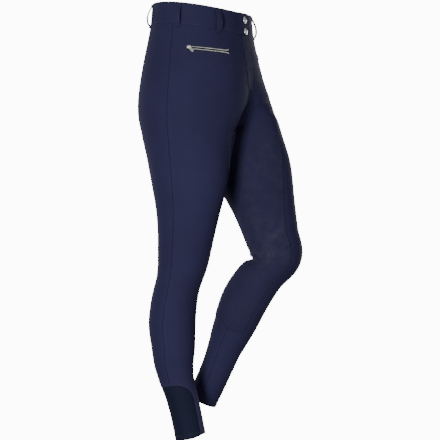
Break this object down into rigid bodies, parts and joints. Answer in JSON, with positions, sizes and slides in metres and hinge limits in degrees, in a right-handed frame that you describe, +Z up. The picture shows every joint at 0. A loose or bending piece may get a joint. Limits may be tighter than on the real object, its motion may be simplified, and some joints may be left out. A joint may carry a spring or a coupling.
{
  "type": "riding breeches",
  "caption": "Full-length riding breeches in a worn pose, hollow, with a belted waistband, snap and fly, zip pockets, inner-leg grip patches and stretch ankle panels.",
  "frame": {"origin": "middle of the waistband, half-way up it in front, where the wearer's waist holds the breeches", "axes": "+Z up, the wearer faces -Y and the wearer's right leg is at -X"},
  "size_m": [0.3508, 0.3245, 0.9872],
  "materials": {
    "cloth": "matt navy four-way stretch knit with a soft sheen",
    "grip": "brushed suede-like navy",
    "stretch": "thin dark navy elastic jersey",
    "tape": "woven dark zip tape",
    "teeth": "polished silver",
    "metal": "polished silver"
  },
  "bodies": {
    "breeches": {"front_right": "cloth", "back_right": "cloth", "waistband_right": "cloth", "belt_loop_front_right": "cloth", "belt_loop_side_right": "cloth", "belt_loop_back_right": "cloth", "front_left": "cloth", "back_left": "cloth", "waistband_left": "cloth", "belt_loop_front_left": "cloth", "belt_loop_side_left": "cloth", "belt_loop_back_left": "cloth", "fly_flap": "cloth", "inner_patch_right": "grip", "inner_patch_left": "grip", "ankle_panel_right": "stretch", "ankle_panel_left": "stretch", "zip_tape_right": "tape", "zip_tape_left": "tape", "zip_teeth_upper_right": "teeth", "zip_teeth_lower_right": "teeth", "zip_teeth_upper_left": "teeth", "zip_teeth_lower_left": "teeth", "zip_slider_right": "metal", "zip_slider_left": "metal", "snap_top": "metal", "snap_bottom": "metal"},
    "pull_right": {"zip_pull_right": "metal"},
    "pull_left": {"zip_pull_left": "metal"}
  },
  "joints": [
    {"name": "zip_pull_right_hinge", "type": "hinge", "parent": "breeches", "child": "pull_right", "pos_m": [-0.14718, -0.04419, -0.0798], "axis": [-0.493, 0.6016, -0.6286], "range_deg": [0, 120]},
    {"name": "zip_pull_left_hinge", "type": "hinge", "parent": "breeches", "child": "pull_left", "pos_m": [0.14718, -0.0435, -0.07947], "axis": [-0.4873, -0.597, 0.6373], "range_deg": [0, 120]}
  ]
}
